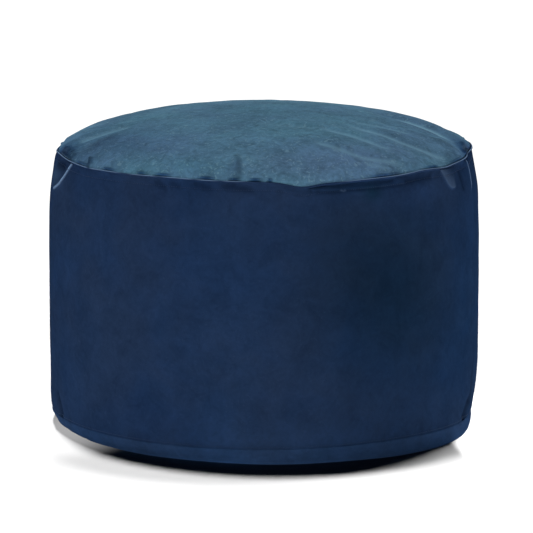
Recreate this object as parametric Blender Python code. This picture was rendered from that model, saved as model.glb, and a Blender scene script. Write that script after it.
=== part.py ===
"""Outdoor pouf: a round filled seat in proofed cloth, sewn from a top disc, a wall band and a base disc.

The pouf is one filled form, parted at its two seams into a solid for each panel of cloth.
Metres, +Z up. The origin is on the floor under the middle of the pouf, and the front faces -Y.
An angle runs around the pouf from the front, positive towards +X, and is in degrees in the tables.
"""
from collections import namedtuple

import bmesh
import bpy
import numpy as np

# Main sizes
WIDEST_RADIUS = 0.300
SEAM_RADIUS = 0.2907
SEAM_HEIGHT = 0.3834
BASE_SEAM_HEIGHT = 0.0237
CROWN_RISE = 0.0595
PANEL_GAP = 0.0003

# How the top panel falls from its crown to its seam: a larger power of the share keeps it flat for longer
CROWN_FLATNESS = 2.09
CROWN_EDGE = 0.6256

# How the wall is drawn in towards its two seams
TOP_DRAW_REACH = 0.1675
TOP_DRAW_POWER = 4.0
BASE_DRAW = 0.0031
BASE_DRAW_LEAN = 0.0019
BASE_DRAW_REACH = 0.0906
BASE_DRAW_POWER = 2.4
SEAM_FLATTENED = 0.0020
SEAM_LEAN = 0.0007

# The turned-up edge of the base: the flat foot is larger on the right, where the pouf leans out
FOOT_RADIUS = 0.2815
FOOT_LEAN = 0.0148
FOOT_INSET = 0.0040

# The seam's rolled lip, which belongs to the wall's cloth
LIP_INNER = 0.0012
TOP_PANEL_INSET = 0.0016

# Mesh steps
STEPS_AROUND = 160
TOP_SHARES = (0.992, 0.98, 0.96, 0.935, 0.90, 0.86, 0.81, 0.745, 0.66, 0.56, 0.44, 0.30, 0.15)
WALL_DROPS = (0.0045, 0.0070, 0.0100, 0.0135, 0.018, 0.024, 0.032, 0.043, 0.060, 0.090, 0.140, 0.190, 0.240)
WALL_RISES = (0.085, 0.060, 0.042, 0.029, 0.019, 0.012, 0.007, 0.004)
BASE_TURN_STEPS = 6

Wave = namedtuple("Wave", "count size phase")
Lift = namedtuple("Lift", "angle spread lift")
Fold = namedtuple("Fold", "angle_from place_from angle_to place_to width rise")
LipPoint = namedtuple("LipPoint", "out up")

# Puckers where the cloth is gathered into a seam
TOP_GATHER = (
    Wave(count=13, size=0.0005, phase=0.6),
    Wave(count=22, size=0.0008, phase=2.3),
    Wave(count=31, size=0.0006, phase=4.4),
    Wave(count=43, size=0.0004, phase=1.2),
)
BASE_GATHER = (
    Wave(count=9, size=0.0004, phase=1.9),
    Wave(count=19, size=0.0006, phase=5.1),
    Wave(count=34, size=0.0004, phase=0.3),
)
# The slow unevenness of a filled form
TOP_UNEVEN = (
    Wave(count=2, size=0.0010, phase=0.9),
    Wave(count=3, size=0.0012, phase=3.7),
    Wave(count=5, size=0.0009, phase=5.6),
)
WALL_UNEVEN = (
    Wave(count=2, size=0.0008, phase=2.6),
    Wave(count=5, size=0.0008, phase=0.2),
    Wave(count=9, size=0.0005, phase=4.0),
)
# Where the top seam rises and dips. The deep dip is where the crown bulges over the seam.
SEAM_LIFTS = (
    Lift(angle=8.5, spread=5.5, lift=-0.0060),
    Lift(angle=24, spread=9, lift=-0.0012),
    Lift(angle=47, spread=6, lift=0.0022),
    Lift(angle=58, spread=4, lift=-0.0014),
    Lift(angle=92, spread=14, lift=0.0052),
    Lift(angle=-27, spread=10, lift=0.0013),
    Lift(angle=-55, spread=5, lift=-0.0010),
    Lift(angle=-78, spread=10, lift=0.0030),
    Lift(angle=-92, spread=18, lift=-0.0015),
    Lift(angle=-150, spread=9, lift=-0.0020),
    Lift(angle=140, spread=12, lift=0.0015),
)
# Where the base stands further out or in, at its seam and at its flat foot
BASE_SPREADS = (
    Lift(angle=57, spread=17, lift=0.0078),
    Lift(angle=92, spread=16, lift=-0.0036),
)
FOOT_SPREADS = (
    Lift(angle=54, spread=18, lift=0.0094),
    Lift(angle=92, spread=16, lift=-0.0135),
    Lift(angle=-17, spread=14, lift=-0.0046),
    Lift(angle=22, spread=12, lift=-0.0040),
    Lift(angle=-85, spread=12, lift=-0.0036),
)
# Folds of the top panel: each runs between two plan points, given by angle and radius
TOP_FOLDS = (
    Fold(angle_from=96, place_from=0.172, angle_to=82, place_to=0.270, width=0.014, rise=0.0040),
    Fold(angle_from=106, place_from=0.250, angle_to=93, place_to=0.279, width=0.014, rise=0.0036),
    Fold(angle_from=51, place_from=0.165, angle_to=59, place_to=0.270, width=0.011, rise=0.0040),
    Fold(angle_from=32, place_from=0.145, angle_to=45, place_to=0.247, width=0.010, rise=0.0030),
    Fold(angle_from=25, place_from=0.215, angle_to=43, place_to=0.279, width=0.009, rise=0.0026),
    Fold(angle_from=-3, place_from=0.100, angle_to=31, place_to=0.146, width=0.013, rise=0.0016),
    Fold(angle_from=70, place_from=0.205, angle_to=72, place_to=0.270, width=0.012, rise=-0.0022),
    Fold(angle_from=-76, place_from=0.195, angle_to=-77, place_to=0.264, width=0.012, rise=0.0030),
    Fold(angle_from=-66, place_from=0.225, angle_to=-64, place_to=0.275, width=0.012, rise=-0.0018),
    Fold(angle_from=-8, place_from=0.248, angle_to=-6.5, place_to=0.284, width=0.008, rise=-0.0024),
    Fold(angle_from=-56, place_from=0.272, angle_to=-54.5, place_to=0.288, width=0.007, rise=-0.0034),
    Fold(angle_from=-77, place_from=0.279, angle_to=-66, place_to=0.283, width=0.009, rise=-0.0030),
    Fold(angle_from=84, place_from=0.273, angle_to=78, place_to=0.283, width=0.009, rise=-0.0036),
    Fold(angle_from=128, place_from=0.180, angle_to=133, place_to=0.270, width=0.012, rise=0.0026),
    Fold(angle_from=172, place_from=0.215, angle_to=167, place_to=0.276, width=0.011, rise=0.0024),
    Fold(angle_from=-118, place_from=0.190, angle_to=-124, place_to=0.272, width=0.012, rise=0.0018),
    Fold(angle_from=-150, place_from=0.235, angle_to=-147, place_to=0.281, width=0.010, rise=-0.0026),
)
# Folds of the wall: each runs between two points on the wall, given by angle and height
WALL_FOLDS = (
    Fold(angle_from=-65.5, place_from=0.382, angle_to=-73, place_to=0.351, width=0.0065, rise=0.0032),
    Fold(angle_from=-73, place_from=0.351, angle_to=-92, place_to=0.325, width=0.0080, rise=0.0026),
    Fold(angle_from=-76, place_from=0.371, angle_to=-88, place_to=0.348, width=0.0110, rise=-0.0024),
    Fold(angle_from=60, place_from=0.377, angle_to=60.5, place_to=0.357, width=0.0150, rise=0.0030),
    Fold(angle_from=68, place_from=0.381, angle_to=74, place_to=0.341, width=0.0065, rise=0.0026),
    Fold(angle_from=66, place_from=0.369, angle_to=67, place_to=0.352, width=0.0070, rise=-0.0020),
    Fold(angle_from=12, place_from=0.3765, angle_to=35, place_to=0.3765, width=0.0040, rise=-0.0022),
    Fold(angle_from=-30, place_from=0.3735, angle_to=-28, place_to=0.3715, width=0.0080, rise=-0.0018),
    Fold(angle_from=-13, place_from=0.3745, angle_to=-12, place_to=0.3725, width=0.0080, rise=-0.0018),
    Fold(angle_from=-73, place_from=0.052, angle_to=-70, place_to=0.028, width=0.0085, rise=-0.0028),
    Fold(angle_from=72, place_from=0.046, angle_to=67, place_to=0.028, width=0.0085, rise=-0.0024),
    Fold(angle_from=92, place_from=0.078, angle_to=90, place_to=0.070, width=0.0080, rise=-0.0016),
    Fold(angle_from=128, place_from=0.381, angle_to=134, place_to=0.344, width=0.0090, rise=0.0028),
    Fold(angle_from=-122, place_from=0.381, angle_to=-129, place_to=0.346, width=0.0085, rise=0.0028),
    Fold(angle_from=164, place_from=0.378, angle_to=160, place_to=0.356, width=0.0100, rise=-0.0022),
    Fold(angle_from=-158, place_from=0.050, angle_to=-153, place_to=0.028, width=0.0090, rise=-0.0024),
)
# The lip's section, from its inner foot over the crest to the groove under it
LIP_SECTION = (
    LipPoint(out=-0.0003, up=0.0016),
    LipPoint(out=0.0011, up=0.0015),
    LipPoint(out=0.0018, up=-0.0003),
    LipPoint(out=0.0006, up=-0.0022),
)
# Where the lip is tucked out of sight, as a share of its full size left standing
LIP_TUCKS = (
    Lift(angle=7, spread=7.5, lift=-0.85),
    Lift(angle=-151, spread=8, lift=-0.60),
)
# How far the cloth stands away from the base seam's groove
BASE_GROOVE = 0.0014
BASE_GROOVE_WIDTH = 0.0032

# How far puckers reach from a seam, and how close to it they begin
GATHER_REACH = 0.024
BASE_GATHER_REACH = 0.030
GATHER_START = 0.004

# How fast a dip of the seam fades towards the crown, and the unevenness towards the middle and the seam
SEAM_DIP_FADE = 8
UNEVEN_FADE_IN = 2
UNEVEN_FADE_OUT = 12
# The share of the turned-up edge, from the floor, that is kept free of puckers
FOOT_CALM = 0.3
SHARP_EDGE = 50

# Each panel's cloth, in Blender's linear colour
Cloth = namedtuple("Cloth", "red green blue roughness")
TOP_CLOTH = Cloth(red=0.055, green=0.120, blue=0.185, roughness=0.72)
WALL_CLOTH = Cloth(red=0.011, green=0.027, blue=0.076, roughness=0.70)
BASE_CLOTH = Cloth(red=0.009, green=0.020, blue=0.055, roughness=0.75)


def clear_scene():
    """Removes what the new file starts with."""
    for thing in list(bpy.data.objects):
        bpy.data.objects.remove(thing, do_unlink=True)


def angles_around():
    """The angles of the mesh's steps, in radians."""
    return np.arange(STEPS_AROUND) * 2.0 * np.pi / STEPS_AROUND


def turn_between(angle, degrees):
    """The signed turn from a table's angle to each angle, in radians, the short way round."""
    turn = angle - np.radians(degrees)
    return (turn + np.pi) % (2.0 * np.pi) - np.pi


def waves(angle, table):
    """The sum of a table's waves around the pouf."""
    return sum(wave.size * np.cos(wave.count * angle + wave.phase) for wave in table)


def lifts(angle, table):
    """The sum of a table's soft local lifts around the pouf."""
    total = 0.0 * angle
    for row in table:
        total = total + row.lift * np.exp(-(turn_between(angle, row.angle) / np.radians(row.spread)) ** 2)
    return total


def ridge(along, across, end_along, end_across, fold):
    """A soft ridge or trough between the origin and an end point, with rounded ends."""
    length_squared = end_along ** 2 + end_across ** 2
    share = np.clip((along * end_along + across * end_across) / length_squared, 0.0, 1.0)
    distance_squared = (along - share * end_along) ** 2 + (across - share * end_across) ** 2
    return fold.rise * np.exp(-distance_squared / fold.width ** 2)


def plan_point(angle, radius):
    """The plan position at an angle from the front and a radius."""
    return radius * np.sin(angle), -radius * np.cos(angle)


def top_folds(angle, radius):
    """How far the top panel's folds lift its cloth."""
    x, y = plan_point(angle, radius)
    relief = 0.0
    for fold in TOP_FOLDS:
        start_x, start_y = plan_point(np.radians(fold.angle_from), fold.place_from)
        end_x, end_y = plan_point(np.radians(fold.angle_to), fold.place_to)
        relief = relief + ridge(x - start_x, y - start_y, end_x - start_x, end_y - start_y, fold)
    return relief


def wall_folds(angle, height):
    """How far the wall's folds lift its cloth."""
    relief = 0.0
    for fold in WALL_FOLDS:
        along = WIDEST_RADIUS * turn_between(angle, fold.angle_from)
        end_along = WIDEST_RADIUS * np.radians(fold.angle_to - fold.angle_from)
        end_up = fold.place_to - fold.place_from
        relief = relief + ridge(along, height - fold.place_from, end_along, end_up, fold)
    return relief


def near_seam(distance, reach):
    """1 near a seam, fading over the reach, and 0 on the seam itself, which the stitches hold."""
    return np.exp(-(distance / reach) ** 2) * (1.0 - np.exp(-(distance / GATHER_START) ** 2))


def seam_radius(angle):
    """The top seam's radius: the pouf is a little narrower there from side to side, most of all on the left."""
    return SEAM_RADIUS - SEAM_FLATTENED * np.sin(angle) ** 2 + SEAM_LEAN * np.sin(angle)


def seam_height(angle):
    """The top seam's height above the floor."""
    return SEAM_HEIGHT + lifts(angle, SEAM_LIFTS)


def base_seam_radius(angle):
    """The base seam's radius."""
    return WIDEST_RADIUS - BASE_DRAW - BASE_DRAW_LEAN * np.sin(angle) + lifts(angle, BASE_SPREADS)


def wall_radius(angle, height):
    """The wall's radius before its folds: fullest at mid height and drawn in to both seams."""
    up = np.clip(1.0 - (seam_height(angle) - height) / TOP_DRAW_REACH, 0.0, 1.0) ** TOP_DRAW_POWER
    down = np.clip(1.0 - (height - BASE_SEAM_HEIGHT) / BASE_DRAW_REACH, 0.0, 1.0) ** BASE_DRAW_POWER
    drawn_top = (WIDEST_RADIUS - seam_radius(angle)) * up
    drawn_base = (WIDEST_RADIUS - base_seam_radius(angle)) * down
    return WIDEST_RADIUS - drawn_top - drawn_base


def ring(angle, radius, height):
    """One row of points around the pouf."""
    x, y = plan_point(angle, radius)
    return np.stack([x, y, height + 0.0 * angle], axis=-1)


def pushed_out(rows, relief):
    """Moves a grid of points along its own normals, which point out of the pouf."""
    grid = np.stack(rows)
    around = np.roll(grid, -1, axis=1) - np.roll(grid, 1, axis=1)
    down = np.gradient(grid, axis=0)
    normal = np.cross(down, around)
    normal /= np.linalg.norm(normal, axis=-1, keepdims=True)
    return list(grid + normal * np.stack(relief)[..., None])


def top_panel_rows(angle):
    """The top panel from its seam up to the last ring around the crown."""
    rim = seam_radius(angle) - TOP_PANEL_INSET
    rows = [ring(angle, rim, seam_height(angle) + PANEL_GAP)]
    relief = [0.0 * angle]
    for share in TOP_SHARES:
        radius = rim * share
        rise = CROWN_RISE * (1.0 - share ** CROWN_FLATNESS) ** CROWN_EDGE
        settled = SEAM_HEIGHT + (seam_height(angle) - SEAM_HEIGHT) * share ** SEAM_DIP_FADE
        rows.append(ring(angle, radius, settled + PANEL_GAP + rise))
        inward = rim - radius
        lift = waves(angle, TOP_GATHER) * near_seam(inward, GATHER_REACH)
        lift = lift + waves(angle, TOP_UNEVEN) * share ** UNEVEN_FADE_IN * (1.0 - share ** UNEVEN_FADE_OUT)
        lift = lift + top_folds(angle, radius) * (1.0 - np.exp(-(inward / GATHER_START) ** 2))
        relief.append(lift)
    return pushed_out(rows, relief)


def lip_rows(angle):
    """The rolled lip of the top seam, flattened where it is tucked in."""
    size = 1.0 + lifts(angle, LIP_TUCKS)
    rows = [ring(angle, seam_radius(angle) - LIP_INNER, seam_height(angle))]
    for point in LIP_SECTION:
        radius = seam_radius(angle) + point.out * size
        rows.append(ring(angle, radius, seam_height(angle) + point.up * size))
    return rows


def wall_rows(angle):
    """The wall from under the lip down to just above the base seam."""
    heights = [seam_height(angle) - drop for drop in WALL_DROPS]
    heights += [BASE_SEAM_HEIGHT + rise + 0.0 * angle for rise in WALL_RISES]
    rows = []
    relief = []
    for height in heights:
        rows.append(ring(angle, wall_radius(angle, height), height))
        from_top = seam_height(angle) - height
        from_base = height - BASE_SEAM_HEIGHT
        belly = np.sin(np.pi * from_base / (SEAM_HEIGHT - BASE_SEAM_HEIGHT))
        lift = waves(angle, TOP_GATHER) * near_seam(from_top, GATHER_REACH)
        lift = lift + waves(angle, BASE_GATHER) * near_seam(from_base, BASE_GATHER_REACH)
        lift = lift + waves(angle, WALL_UNEVEN) * np.clip(belly, 0.0, 1.0)
        lift = lift + wall_folds(angle, height)
        lift = lift - BASE_GROOVE * np.exp(-(from_base / BASE_GROOVE_WIDTH) ** 2)
        relief.append(lift)
    return pushed_out(rows, relief)


def base_rim_radius(angle):
    """The radius at the bottom of the base seam's groove."""
    return base_seam_radius(angle) - BASE_GROOVE


def base_panel_rows(angle):
    """The base panel from its seam, around its turned-up edge, to the flat foot."""
    rim = base_rim_radius(angle)
    foot = FOOT_RADIUS + FOOT_LEAN * np.sin(angle) + lifts(angle, FOOT_SPREADS)
    foot = np.minimum(foot, rim - FOOT_INSET)
    top = BASE_SEAM_HEIGHT - PANEL_GAP
    rows = [ring(angle, rim, top + 0.0 * angle)]
    relief = [0.0 * angle]
    for step in range(1, BASE_TURN_STEPS):
        turn = 0.5 * np.pi * (1.0 - step / BASE_TURN_STEPS)
        height = top * (1.0 - np.cos(turn))
        rows.append(ring(angle, foot + (rim - foot) * np.sin(turn), height + 0.0 * angle))
        distance = top - height
        swell = BASE_GROOVE * (1.0 - np.exp(-(distance / BASE_GROOVE_WIDTH) ** 2))
        fade = np.clip(height / (FOOT_CALM * top), 0.0, 1.0)
        relief.append((swell + waves(angle, BASE_GATHER) * near_seam(distance, BASE_GATHER_REACH)) * fade)
    rows.append(ring(angle, foot, 0.0 * angle))
    relief.append(0.0 * angle)
    moved = pushed_out(rows, relief)
    moved[-1][:, 2] = 0.0
    return moved


def cloth_material(name, cloth):
    """A plain matt material in the cloth's colour."""
    material = bpy.data.materials.new(name)
    material.use_nodes = True
    shader = material.node_tree.nodes["Principled BSDF"]
    shader.inputs["Base Color"].default_value = (cloth.red, cloth.green, cloth.blue, 1.0)
    shader.inputs["Roughness"].default_value = cloth.roughness
    shader.inputs["Metallic"].default_value = 0.0
    return material


def closed_panel(name, rows, top_centre, bottom_centre, cloth):
    """Makes one closed solid from rows of points, top to bottom, capped by a fan at each end."""
    mesh = bmesh.new()
    grid = [[mesh.verts.new(point) for point in row] for row in rows]
    above = mesh.verts.new((0.0, 0.0, top_centre))
    below = mesh.verts.new((0.0, 0.0, bottom_centre))
    for step in range(STEPS_AROUND):
        after = (step + 1) % STEPS_AROUND
        mesh.faces.new((above, grid[0][step], grid[0][after]))
        mesh.faces.new((below, grid[-1][after], grid[-1][step]))
        for upper, lower in zip(grid, grid[1:]):
            mesh.faces.new((upper[step], lower[step], lower[after], upper[after]))
    bmesh.ops.recalc_face_normals(mesh, faces=mesh.faces)
    data = bpy.data.meshes.new(name)
    mesh.to_mesh(data)
    mesh.free()
    data.shade_smooth()
    data.set_sharp_from_angle(angle=np.radians(SHARP_EDGE))
    panel = bpy.data.objects.new(name, data)
    panel.data.materials.append(cloth_material(name + "_cloth", cloth))
    bpy.context.scene.collection.objects.link(panel)
    return panel


def build_top_panel(angle):
    """The crowned top: its rows run from the seam inwards, so they are given crown first."""
    rows = top_panel_rows(angle)[::-1]
    crown = SEAM_HEIGHT + PANEL_GAP + CROWN_RISE
    closed_panel("top_panel", rows, crown, SEAM_HEIGHT + PANEL_GAP, TOP_CLOTH)


def build_side_panel(angle):
    """The wall band with the rolled lip of the top seam."""
    last = ring(angle, base_rim_radius(angle), BASE_SEAM_HEIGHT + 0.0 * angle)
    rows = lip_rows(angle) + wall_rows(angle) + [last]
    closed_panel("side_panel", rows, SEAM_HEIGHT, BASE_SEAM_HEIGHT, WALL_CLOTH)


def build_base_panel(angle):
    """The base with its turned-up edge and flat foot."""
    rows = base_panel_rows(angle)
    closed_panel("base_panel", rows, BASE_SEAM_HEIGHT - PANEL_GAP, 0.0, BASE_CLOTH)


def main():
    clear_scene()
    angle = angles_around()
    build_top_panel(angle)
    build_side_panel(angle)
    build_base_panel(angle)


main()
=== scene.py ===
"""Looks of the outdoor pouf: its three cloth panels in fine meshes, with their seams, folds and materials.

Metres, +Z up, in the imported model's frame. The origin is on the floor under the middle, and the front
faces -Y. An angle runs around the pouf from the front, positive towards +X, and is in degrees in the tables.
"""
from collections import namedtuple

import bpy
import numpy as np
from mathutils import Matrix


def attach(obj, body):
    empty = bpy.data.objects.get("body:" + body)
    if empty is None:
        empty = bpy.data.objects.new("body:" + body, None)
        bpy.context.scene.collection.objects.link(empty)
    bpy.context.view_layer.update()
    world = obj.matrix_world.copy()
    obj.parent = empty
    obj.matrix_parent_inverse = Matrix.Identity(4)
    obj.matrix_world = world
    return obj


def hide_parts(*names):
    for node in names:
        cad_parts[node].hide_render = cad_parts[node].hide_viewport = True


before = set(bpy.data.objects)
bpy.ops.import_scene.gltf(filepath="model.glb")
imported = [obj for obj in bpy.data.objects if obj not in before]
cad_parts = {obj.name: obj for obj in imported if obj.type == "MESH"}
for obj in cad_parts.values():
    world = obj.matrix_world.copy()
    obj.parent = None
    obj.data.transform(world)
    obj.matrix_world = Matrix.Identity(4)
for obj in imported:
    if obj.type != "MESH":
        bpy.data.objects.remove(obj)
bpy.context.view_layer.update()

# Main sizes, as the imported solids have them
WIDEST_RADIUS = 0.300
SEAM_RADIUS = 0.2907
SEAM_FLATTENED = 0.0020
SEAM_LEAN = 0.0007
SEAM_HEIGHT = 0.3834
BASE_SEAM_HEIGHT = 0.0237
CROWN_RISE = 0.0595
CROWN_FLATNESS = 2.09
CROWN_EDGE = 0.6256
PANEL_GAP = 0.0003
TOP_DRAW_REACH = 0.1675
TOP_DRAW_POWER = 4.0
BASE_DRAW = 0.0031
BASE_DRAW_LEAN = 0.0019
BASE_DRAW_REACH = 0.0906
BASE_DRAW_POWER = 2.4
FOOT_RADIUS = 0.2815
FOOT_LEAN = 0.0148
FOOT_INSET = 0.0040
BASE_TURN_ROWS = 23
LIP_INNER = 0.0012
TOP_PANEL_INSET = 0.0016
BASE_GROOVE = 0.0004
BASE_GROOVE_WIDTH = 0.0020

# The row of stitches under the top seam, and its shallow groove
STITCH_DROP = 0.0105
STITCH_GROOVE = 0.0004
STITCH_GROOVE_WIDTH = 0.0011
STITCH_PITCH = 0.0034
STITCH_LENGTH = 0.0027
THREAD_RADIUS = 0.00028
THREAD_SIDES = 6
# How high a thread arches over the cloth and dips into it, in radii, and how thick its ends are
THREAD_ARCH = 1.5
THREAD_DIP = 0.9
THREAD_END = 0.45
STITCH_POINTS = 5
BASE_STITCH_RISE = 0.0030

# The wall band's closing seam, at the back where the photograph doesn't reach
CLOSING_ANGLE = 176.0
CLOSING_GROOVE = 0.0011
CLOSING_GROOVE_WIDTH = 0.0016
CLOSING_FOLD = 0.0007
CLOSING_FOLD_WIDTH = 0.0075
CLOSING_STITCH_ASIDE = 0.0045
CLOSING_STITCH_CLEAR_TOP = 0.0040
CLOSING_STITCH_CLEAR_BASE = 0.0050

# The cloth's own give, from a cloth simulation: a coarse cover is held along its seams and blown out
GIVE_STEPS = 240
GIVE_TOP_ROWS = 30
GIVE_WALL_ROWS = 40
GIVE_TOP_END = 0.975
GIVE_FRAMES = 24
GIVE_PRESSURE = 3.0
GIVE_GROWTH = 0.02
GIVE_WAVES_AROUND = 40
GIVE_WAVES_ACROSS = 12
GIVE_SHARE = 0.5
GIVE_LIMIT = 0.0010

# Each row of a table gives its kind's values in this order. An angle and its spread are in degrees.
Wave = namedtuple("Wave", "count size phase")
Lift = namedtuple("Lift", "angle spread lift")
Fold = namedtuple("Fold", "angle_from place_from angle_to place_to width far_width rise")
Crease = namedtuple("Crease", "route width far_width rise pale")
Nip = namedtuple("Nip", "angle spread depth")
LipPoint = namedtuple("LipPoint", "out up rub")
Patch = namedtuple("Patch", "angle place spread reach red green blue")
Closer = namedtuple("Closer", "angle spread times")
Cloth = namedtuple("Cloth", "cool warm mottle crease_scale crumple roughness sheen specular "
                            "fleck fleck_from fleck_share")
SunLight = namedtuple("SunLight", "name strength soft azimuth elevation")
PoolLight = namedtuple("PoolLight", "name power x y height spread soft")

# Mesh steps around the pouf, closer together where the sharp creases are
STEPS_AROUND = 1000
CLOSER = (
    Closer(angle=-75, spread=11, times=3.0),
    Closer(angle=65, spread=12, times=2.4),
)
WALL_HEIGHT = SEAM_HEIGHT - BASE_SEAM_HEIGHT

# The gathers at each seam and the broad unevenness of the top and the wall
TOP_GATHER = (
    Wave(13, 0.0005, 0.6),
    Wave(22, 0.0008, 2.3),
    Wave(31, 0.0006, 4.4),
    Wave(43, 0.0004, 1.2),
    Wave(71, 0.0003, 5.0),
)
BASE_GATHER = (
    Wave(9, 0.0004, 1.9),
    Wave(19, 0.0006, 5.1),
    Wave(34, 0.0004, 0.3),
    Wave(61, 0.0003, 2.7),
)
TOP_UNEVEN = (
    Wave(2, 0.0010, 0.9),
    Wave(3, 0.0012, 3.7),
    Wave(5, 0.0009, 5.6),
)
WALL_UNEVEN = (
    Wave(2, 0.0008, 2.6),
    Wave(5, 0.0008, 0.2),
    Wave(9, 0.0005, 4.0),
)
# How far the seams rise, and how far they and the foot stand out, from place to place
SEAM_LIFTS = (
    Lift(10, 4.8, -0.0062),
    Lift(17, 7, -0.0024),
    Lift(24, 9, -0.0012),
    Lift(40, 15, -0.0014),
    Lift(47, 6, 0.0022),
    Lift(58, 4, -0.0014),
    Lift(92, 14, 0.0052),
    Lift(-27, 10, 0.0013),
    Lift(-55, 5, -0.0010),
    Lift(-78, 10, 0.0038),
    Lift(-92, 18, -0.0015),
    Lift(-150, 9, -0.0020),
    Lift(140, 12, 0.0015),
)
SEAM_SPREADS = (
    Lift(79.5, 4.4, -0.0038),
    Lift(-150, 7.0, -0.0024),
)
BASE_SPREADS = (
    Lift(57, 17, 0.0078),
    Lift(92, 16, -0.0036),
)
FOOT_SPREADS = (
    Lift(54, 18, 0.0094),
    Lift(92, 16, -0.0135),
    Lift(-17, 14, -0.0046),
    Lift(22, 12, -0.0040),
    Lift(-85, 12, -0.0036),
)
# Folds of the top panel, each between two plan points given by angle and radius. The width is on the fold's
# left as one looks along it, and the far width on its right.
TOP_FOLDS = (
    Fold(96, 0.172, 82, 0.270, 0.013, 0.016, 0.0030),
    Fold(106, 0.250, 93, 0.279, 0.014, 0.014, 0.0036),
    Fold(70, 0.205, 72, 0.270, 0.010, 0.012, -0.0022),
    Fold(-76, 0.195, -77, 0.264, 0.014, 0.016, 0.0020),
    Fold(-66, 0.225, -64, 0.275, 0.012, 0.012, -0.0018),
    Fold(-8, 0.248, -6.5, 0.284, 0.004, 0.007, -0.0026),
    Fold(-57.3, 0.2785, -55.4, 0.2885, 0.0024, 0.0036, -0.0050),
    Fold(-77, 0.281, -67, 0.284, 0.006, 0.006, -0.0040),
    Fold(83, 0.277, 78, 0.284, 0.007, 0.007, -0.0050),
    Fold(128, 0.180, 133, 0.270, 0.008, 0.013, 0.0026),
    Fold(172, 0.215, 167, 0.276, 0.007, 0.012, 0.0024),
    Fold(-118, 0.190, -124, 0.272, 0.008, 0.013, 0.0018),
    Fold(-150, 0.235, -147, 0.281, 0.008, 0.010, -0.0026),
)
# The long thin folds that fan out over the top, with a painted highlight along each: each route's points are
# an angle and a radius
TOP_CREASES = (
    Crease(((49, 0.150), (53.8, 0.200), (54.6, 0.236), (58.5, 0.2645), (62.0, 0.280)),
           0.0050, 0.014, 0.0044, 0.60),
    Crease(((32, 0.146), (39.5, 0.184), (42.5, 0.222), (44.8, 0.247)), 0.0045, 0.012, 0.0038, 0.48),
    Crease(((20, 0.196), (25.8, 0.219), (32, 0.2535), (42.8, 0.279)), 0.0042, 0.010, 0.0034, 0.45),
    Crease(((31, 0.2645), (34, 0.2735), (37, 0.2805)), 0.0030, 0.006, 0.0018, 0.30),
    Crease(((-3, 0.104), (14, 0.122), (31, 0.148)), 0.0070, 0.015, 0.0026, 0.20),
    Crease(((60, 0.138), (65, 0.180), (67, 0.222)), 0.0050, 0.012, 0.0032, 0.40),
    Crease(((70, 0.172), (73, 0.212), (74, 0.250)), 0.0050, 0.011, 0.0030, 0.30),
    Crease(((99, 0.160), (94, 0.200), (87, 0.240), (82, 0.268)), 0.0060, 0.009, 0.0036, 1.0),
    Crease(((-75.5, 0.190), (-76, 0.225), (-77, 0.264)), 0.009, 0.006, 0.0026, 0.50),
    Crease(((-96, 0.215), (-99, 0.250), (-97, 0.276)), 0.009, 0.005, 0.0022, 0.30),
    Crease(((148, 0.170), (151, 0.215), (149, 0.258)), 0.010, 0.005, 0.0028, 0.30),
    Crease(((-135, 0.205), (-139, 0.240), (-138, 0.272)), 0.010, 0.005, 0.0026, 0.30),
)
# Folds of the wall, each between two points given by angle and height
WALL_FOLDS = (
    Fold(-79, 0.3735, -70, 0.3745, 0.0045, 0.0060, -0.0030),
    Fold(66.5, 0.369, 67.5, 0.350, 0.006, 0.006, -0.0026),
    Fold(12, 0.3765, 36, 0.3770, 0.0035, 0.0035, -0.0018),
    Fold(-28.8, 0.3790, -26.8, 0.3735, 0.0036, 0.0056, -0.0022),
    Fold(-24.8, 0.3800, -22.6, 0.3765, 0.0030, 0.0048, -0.0015),
    Fold(-17.8, 0.3795, -14.2, 0.3760, 0.0034, 0.0052, -0.0019),
    Fold(-9.6, 0.3795, -3.4, 0.3755, 0.0034, 0.0056, -0.0020),
    Fold(41, 0.3740, 50, 0.3760, 0.006, 0.005, -0.0022),
    Fold(-73, 0.052, -70, 0.028, 0.006, 0.009, -0.0032),
    Fold(-78, 0.060, -76, 0.036, 0.004, 0.006, 0.0018),
    Fold(72, 0.046, 67, 0.028, 0.008, 0.006, -0.0028),
    Fold(76, 0.085, 74, 0.052, 0.005, 0.008, -0.0020),
    Fold(92, 0.078, 90, 0.070, 0.008, 0.006, -0.0016),
    Fold(128, 0.381, 134, 0.344, 0.009, 0.006, 0.0028),
    Fold(164, 0.378, 160, 0.356, 0.010, 0.008, -0.0026),
    Fold(-158, 0.050, -153, 0.028, 0.009, 0.007, -0.0028),
)
# Sharp creases of the wall, with a painted highlight along their edge: each route's points are an angle and a
# height
WALL_CREASES = (
    Crease(((-60.4, 0.420), (-63.1, 0.3900), (-65.4, 0.3755), (-68.0, 0.3620), (-71.2, 0.3508),
            (-74.8, 0.3430), (-78.2, 0.3375)), 0.0013, 0.0070, 0.0026, 1.0),
    Crease(((71.8, 0.3860), (72.5, 0.3730), (73.0, 0.3600), (73.6, 0.3400)), 0.0018, 0.0026, 0.0018, 0.75),
    Crease(((-122, 0.386), (-126, 0.364), (-129, 0.346)), 0.0018, 0.0060, 0.0024, 0.6),
    Crease(((118, 0.386), (119, 0.368), (122, 0.357)), 0.0060, 0.0018, 0.0020, 0.5),
    Crease(((10, 0.3715), (17.7, 0.3690), (23, 0.3700), (29, 0.3697), (35, 0.3700), (41, 0.3710)),
           0.0013, 0.0022, -0.0016, 0.0),
    Crease(((20.4, 0.3712), (21.2, 0.3688), (22.0, 0.3710)), 0.0009, 0.0009, 0.0010, 0.16),
)
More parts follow.
